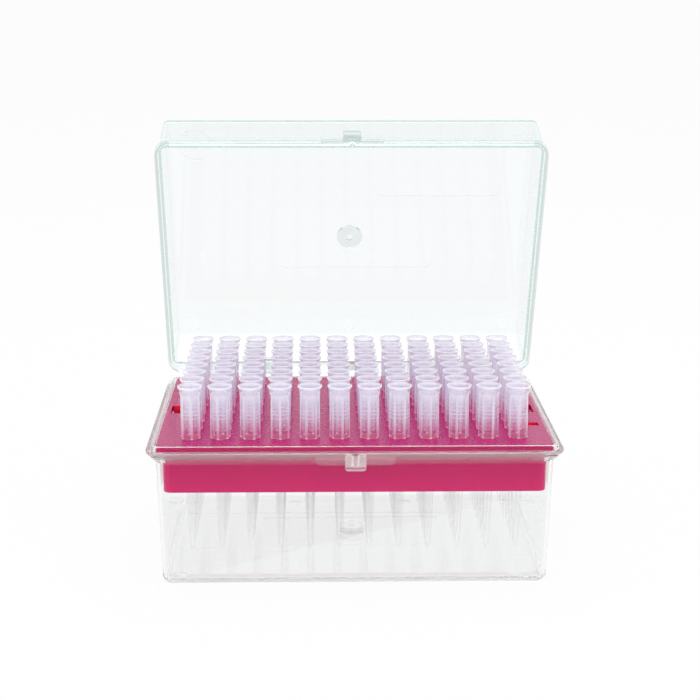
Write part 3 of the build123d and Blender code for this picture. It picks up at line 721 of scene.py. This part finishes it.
# %% Tip mesh
RIB_FLANK, BETWEEN_RIBS = 1.2, (17, 26, 34, 43)
SHARP_ANGLE = math.radians(32)


def ring_angles():
    """Rows of (angle, share of the rib's rise) round a ring."""
    flank = RIB_HALF_ANGLE + RIB_FLANK
    steps = [(-flank, 0), (-RIB_HALF_ANGLE, 1), (0, 1), (RIB_HALF_ANGLE, 1), (flank, 0)]
    steps += [(angle, 0) for angle in BETWEEN_RIBS]
    return [(math.radians(rib * 360 / RIBS + angle), share) for rib in range(RIBS) for angle, share in steps]


def add_tip(mesh, wall, place, turn):
    """Adds one tip, its rim's centre at place, to a bmesh."""
    loops = []
    for index, (depth, radius, rib) in enumerate(OUTSIDE + BORE):
        share_of_milk = 1.0 if index < len(OUTSIDE) else BORE_MILK
        loop = []
        for angle, share in ring_angles():
            reach = radius + share * rib * (rib_rise(depth) if rib else 0)
            spot = Vector((reach * math.cos(angle + turn), reach * math.sin(angle + turn), -depth))
            vertex = mesh.verts.new(place + spot)
            vertex[wall] = share_of_milk * milkiness(depth, share * rib)
            loop.append(vertex)
        loops.append(loop)
    for upper, lower in zip(loops, loops[1:] + loops[:1]):
        for here, (a, b) in enumerate(zip(upper, lower)):
            there = (here + 1) % len(upper)
            mesh.faces.new((a, b, lower[there], upper[there]))


def rounded_mesh(name, mesh):
    """Turns a bmesh into a smooth shaded object that keeps its sharp edges."""
    data = bpy.data.meshes.new(name)
    bmesh.ops.recalc_face_normals(mesh, faces=mesh.faces)
    mesh.to_mesh(data)
    mesh.free()
    data.shade_smooth()
    data.set_sharp_from_angle(angle=SHARP_ANGLE)
    piece = bpy.data.objects.new(name, data)
    bpy.context.scene.collection.objects.link(piece)
    return piece


print(len(ring_angles()), "points round a ring")

# %% [markdown]
# ## Standing the tips in the tray
#
# Each CAD node holds half a column, four tips. Its box gives the places, so the moulded tips stand where the
# CAD ones do and replace them. Real tips drop in at any angle: each one is turned by its own amount, so the
# ribs don't line up from tip to tip.

# %% Stand the tips in the tray
COLUMN_TURN, ROW_TURN = math.radians(37), math.radians(23)
ROWS_PER_NODE = 4


def tip_set(node, column, first_row):
    """The four tips of one CAD node, in the places that the node's box gives."""
    low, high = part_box(node)
    pitch = (high.y - low.y - 2 * RIM_RADIUS) / (ROWS_PER_NODE - 1)
    mesh = bmesh.new()
    wall = mesh.verts.layers.float.new("wall")
    for step in range(ROWS_PER_NODE):
        place = Vector(((low.x + high.x) / 2, high.y - RIM_RADIUS - step * pitch, high.z))
        add_tip(mesh, wall, place, column * COLUMN_TURN + (first_row + step) * ROW_TURN)
    piece = rounded_mesh("moulded_" + node, mesh)
    give_material(piece, tip_plastic)
    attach(piece, "base")
    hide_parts(node)
    return piece


tip_sets = [tip_set(node, index // 2, ROWS_PER_NODE * (index % 2)) for index, node in enumerate(TIP_NODES)]
print(len(tip_sets), "sets of tips,", len(tip_sets[0].data.polygons), "faces each")

# %% [markdown]
# ## The studio's floor and air
#
# Clear plastic shows whatever stands behind and around it, so it is lit by a room, not by a spotlight. The
# floor and the world have two faces. Lamps and diffuse light see a plain pale studio, so that the object keeps
# its shading and its soft shadow. Rays from the camera, or those that come through the plastic or off it, see a
# white backdrop, as in a catalogue.

# %% Floor and world
FLOOR_HALF, FLOOR_PALE, FLOOR_WHITE = 12.0, (0.92, 0.92, 0.92, 1), 0.93
DAYLIGHT, DAYLIGHT_STRENGTH = (0.97, 0.98, 1.0, 1), 0.7
WHITE = (1, 1, 1, 1)


def seen_directly(tree):
    """1 for rays that show the backdrop: from the camera, off a shiny face or through clear plastic."""
    ray = add_node(tree, "ShaderNodeLightPath").outputs
    shown = maths(tree, "MAXIMUM", ray["Is Camera Ray"], ray["Is Glossy Ray"])
    return maths(tree, "MAXIMUM", shown, ray["Is Transmission Ray"])


def add_floor():
    mesh = bpy.data.meshes.new("floor")
    corners = [(-FLOOR_HALF, -FLOOR_HALF, 0), (FLOOR_HALF, -FLOOR_HALF, 0),
               (FLOOR_HALF, FLOOR_HALF, 0), (-FLOOR_HALF, FLOOR_HALF, 0)]
    mesh.from_pydata(corners, [], [(0, 1, 2, 3)])
    floor = bpy.data.objects.new("floor", mesh)
    bpy.context.scene.collection.objects.link(floor)
    material, tree = add_material("studio floor", WHITE)
    matte = add_node(tree, "ShaderNodeBsdfDiffuse", {"Color": FLOOR_PALE}).outputs[0]
    white = add_node(tree, "ShaderNodeEmission", {"Color": WHITE, "Strength": 1.0}).outputs[0]
    share = maths(tree, "MULTIPLY", seen_directly(tree), FLOOR_WHITE)
    add_node(tree, "ShaderNodeOutputMaterial", {"Surface": mix_shaders(tree, share, matte, white)})
    give_material(floor, material)
    return floor


def add_world():
    world = bpy.data.worlds.new("studio")
    bpy.context.scene.world = world
    world.use_nodes = True
    tree = world.node_tree
    tree.nodes.clear()
    soft = add_node(tree, "ShaderNodeBackground", {"Color": DAYLIGHT, "Strength": DAYLIGHT_STRENGTH}).outputs[0]
    white = add_node(tree, "ShaderNodeBackground", {"Color": WHITE, "Strength": 1.0}).outputs[0]
    add_node(tree, "ShaderNodeOutputWorld", {"Surface": mix_shaders(tree, seen_directly(tree), soft, white)})
    return world


floor, world = add_floor(), add_world()
print(floor.name, "is", 2 * FLOOR_HALF, "m wide, under the world", world.name)

# %% [markdown]
# ## The studio's lamps
#
# A point lamp would draw hard shadows and small hot spots on the plastic. Softboxes are large for so small an
# object, so their light wraps round it: a wide one above, and one at each side in front.

# %% Softboxes
SOFTBOXES = {  # name: (place, aim, width, height, watts)
    "overhead softbox": ((0.0, 0.1, 0.9), (0, 0, 0), 0.9, 0.9, 3.0),
    "left softbox": ((-0.7, -0.7, 0.35), (0, 0, 0.05), 0.4, 0.7, 2.0),
    "right softbox": ((0.7, -0.7, 0.35), (0, 0, 0.05), 0.4, 0.7, 2.0),
}


def add_softbox(name, place, aim, width, height, power):
    lamp = bpy.data.lights.new(name, "AREA")
    lamp.shape = "RECTANGLE"
    lamp.size, lamp.size_y = width, height
    lamp.energy = power
    softbox = bpy.data.objects.new(name, lamp)
    bpy.context.scene.collection.objects.link(softbox)
    softbox.location = place
    softbox.rotation_euler = (Vector(aim) - Vector(place)).to_track_quat("-Z", "Y").to_euler()


for name, values in SOFTBOXES.items():
    add_softbox(name, *values)
print(len(SOFTBOXES), "softboxes")

# %% [markdown]
# ## Light paths
#
# A view through the lid, the tub and eight rows of tips crosses dozens of surfaces. With the usual twelve steps
# the deepest ones turn black, so the limit is raised.

# %% Light paths
LIGHT_STEPS = 40
paths = bpy.context.scene.cycles
paths.max_bounces = LIGHT_STEPS
paths.transmission_bounces = LIGHT_STEPS
paths.glossy_bounces = LIGHT_STEPS
paths.transparent_max_bounces = LIGHT_STEPS
print("light may pass", LIGHT_STEPS, "surfaces")

# %% [markdown]
# ## Closing
#
# The picture is shown with the Standard view transform.

# %% Close the lesson
bpy.context.scene.view_settings.view_transform = "Standard"
